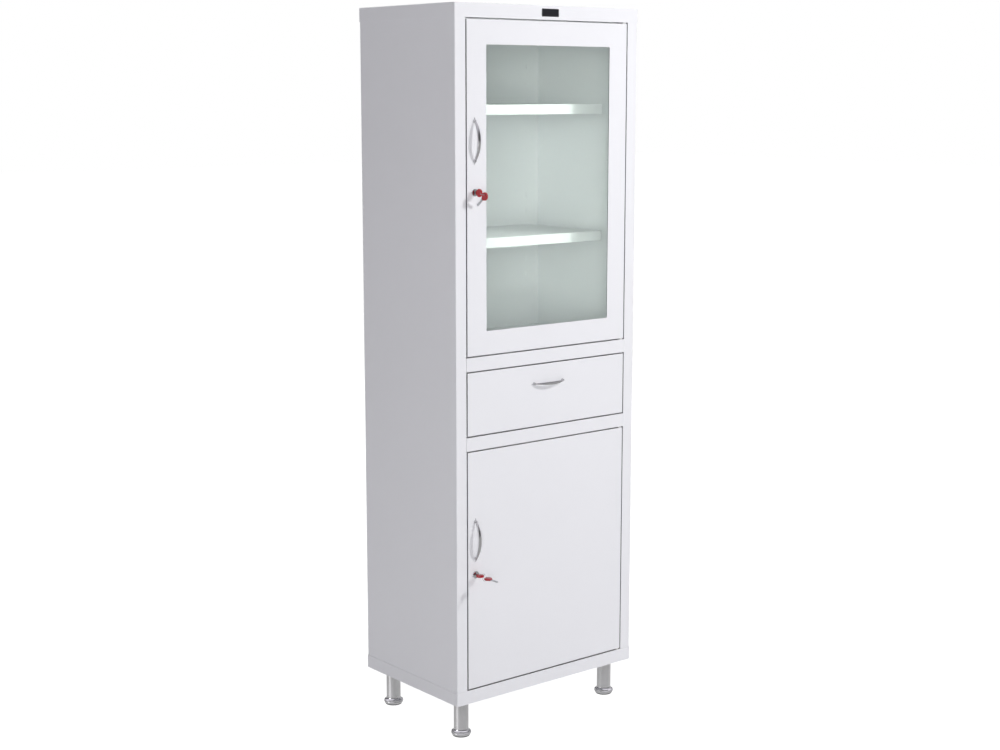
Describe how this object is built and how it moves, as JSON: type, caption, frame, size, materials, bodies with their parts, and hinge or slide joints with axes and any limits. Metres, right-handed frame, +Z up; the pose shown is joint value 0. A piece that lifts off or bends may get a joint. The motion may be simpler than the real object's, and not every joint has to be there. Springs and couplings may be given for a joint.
{
  "type": "medicine cabinet",
  "caption": "Tall white sheet-steel medicine cabinet with a glazed door over a drawer over a solid locking door, bow handles, keyed cam locks and round steel legs.",
  "frame": {"origin": "on the floor, under the middle of the bounding box of the closed cabinet with its keys", "axes": "+Z up, -Y out of the doors towards the user, +X to the right as seen from the front"},
  "size_m": [0.6, 0.4884, 1.855],
  "materials": {
    "white_coat": "smooth white powder coat",
    "satin_steel": "satin steel",
    "chrome": "polished plating",
    "zinc_steel": "bright zinc",
    "red_plastic": "glossy moulded",
    "white_nylon": "moulded",
    "grey_plastic": "moulded",
    "grey_rubber": "matt",
    "window_glass": "clear float glass"
  },
  "bodies": {
    "cabinet": {"side_panel_left": "white_coat", "side_panel_right": "white_coat", "rear_panel": "white_coat", "top_cap": "white_coat", "base_tray": "white_coat", "lower_rail": "white_coat", "upper_rail": "white_coat", "drawer_compartment_floor": "white_coat", "upper_compartment_floor": "white_coat", "upper_shelf": "white_coat", "middle_shelf": "white_coat", "lower_shelf": "white_coat", "shelf_brackets": "white_coat", "badge_plate": "satin_steel", "leg_front_left": "satin_steel", "leg_front_right": "satin_steel", "leg_rear_left": "satin_steel", "leg_rear_right": "satin_steel", "leg_plates": "satin_steel", "leg_screws": "zinc_steel", "leg_glides": "grey_plastic", "hinge_pins": "zinc_steel", "door_buffers": "grey_rubber", "slide_fixed_channels": "zinc_steel"},
    "upper_door": {"upper_door_frame": "white_coat", "upper_door_gasket": "grey_rubber", "upper_door_glass": "window_glass", "upper_glass_retainer": "white_coat", "upper_hinge_bushes": "white_nylon", "upper_door_handle": "chrome", "upper_door_fasteners": "zinc_steel", "upper_lock_body": "chrome"},
    "lower_door": {"lower_door_panel": "white_coat", "lower_door_stiffener": "white_coat", "lower_hinge_bushes": "white_nylon", "lower_door_handle": "chrome", "lower_door_fasteners": "zinc_steel", "lower_lock_body": "chrome"},
    "drawer": {"drawer_front": "white_coat", "drawer_tray": "white_coat", "drawer_handle": "chrome", "drawer_handle_screws": "zinc_steel", "slide_drawer_channels": "zinc_steel"},
    "drawer_slides": {"slide_middle_channels": "zinc_steel"},
    "upper_lock_core": {"upper_lock_plug": "chrome", "upper_lock_cam": "zinc_steel", "upper_cam_screw": "zinc_steel"},
    "upper_key": {"upper_key_bow": "red_plastic", "upper_key_blade": "zinc_steel"},
    "upper_ring": {"upper_key_ring": "chrome"},
    "upper_spare_key": {"upper_spare_bow": "red_plastic", "upper_spare_blade": "zinc_steel"},
    "lower_lock_core": {"lower_lock_plug": "chrome", "lower_lock_cam": "zinc_steel", "lower_cam_screw": "zinc_steel"},
    "lower_key": {"lower_key_bow": "red_plastic", "lower_key_blade": "zinc_steel"},
    "lower_ring": {"lower_key_ring": "chrome"},
    "lower_spare_key": {"lower_spare_bow": "red_plastic", "lower_spare_blade": "zinc_steel"}
  },
  "joints": [
    {"name": "upper_door_hinge", "type": "hinge", "parent": "cabinet", "child": "upper_door", "pos_m": [0.256, -0.1491, 0.135], "axis": [0, 0, 1], "range_deg": [0, 110]},
    {"name": "upper_lock_turn", "type": "hinge", "parent": "upper_door", "child": "upper_lock_core", "pos_m": [-0.24, -0.1546, 1.40101], "axis": [0, -1, 0], "range_deg": [0, 90]},
    {"name": "upper_key_withdraw", "type": "slide", "parent": "upper_lock_core", "child": "upper_key", "axis": [0, -1, 0], "range_m": [0, 0.032]},
    {"name": "upper_ring_swing", "type": "hinge", "parent": "upper_key", "child": "upper_ring", "pos_m": [-0.24, -0.1796, 1.40101], "axis": [1, 0, 0], "range_deg": [-15, 5]},
    {"name": "upper_spare_swing", "type": "hinge", "parent": "upper_ring", "child": "upper_spare_key", "pos_m": [-0.24, -0.19989, 1.39744], "axis": [1, 0, 0], "range_deg": [-55, 8]},
    {"name": "lower_door_hinge", "type": "hinge", "parent": "cabinet", "child": "lower_door", "pos_m": [0.256, -0.1491, 0.135], "axis": [0, 0, 1], "range_deg": [0, 110]},
    {"name": "lower_lock_turn", "type": "hinge", "parent": "lower_door", "child": "lower_lock_core", "pos_m": [-0.24, -0.1546, 0.43786], "axis": [0, -1, 0], "range_deg": [0, 90]},
    {"name": "lower_key_withdraw", "type": "slide", "parent": "lower_lock_core", "child": "lower_key", "axis": [0, -1, 0], "range_m": [0, 0.032]},
    {"name": "lower_ring_swing", "type": "hinge", "parent": "lower_key", "child": "lower_ring", "pos_m": [-0.24, -0.1796, 0.43786], "axis": [0, 0, -1], "range_deg": [-40, 40]},
    {"name": "lower_spare_swing", "type": "hinge", "parent": "lower_ring", "child": "lower_spare_key", "pos_m": [-0.24, -0.2002, 0.43786], "axis": [0, 0, -1], "range_deg": [-40, 40]},
    {"name": "drawer_pull", "type": "slide", "parent": "cabinet", "child": "drawer", "axis": [0, -1, 0], "range_m": [0, 0.3]},
    {"name": "slide_extension", "type": "slide", "parent": "cabinet", "child": "drawer_slides", "axis": [0, -1, 0], "range_m": [0, 0.15]}
  ],
  "couplings": [
    {"joint": "slide_extension", "follows": "drawer_pull", "ratio": 0.5}
  ]
}
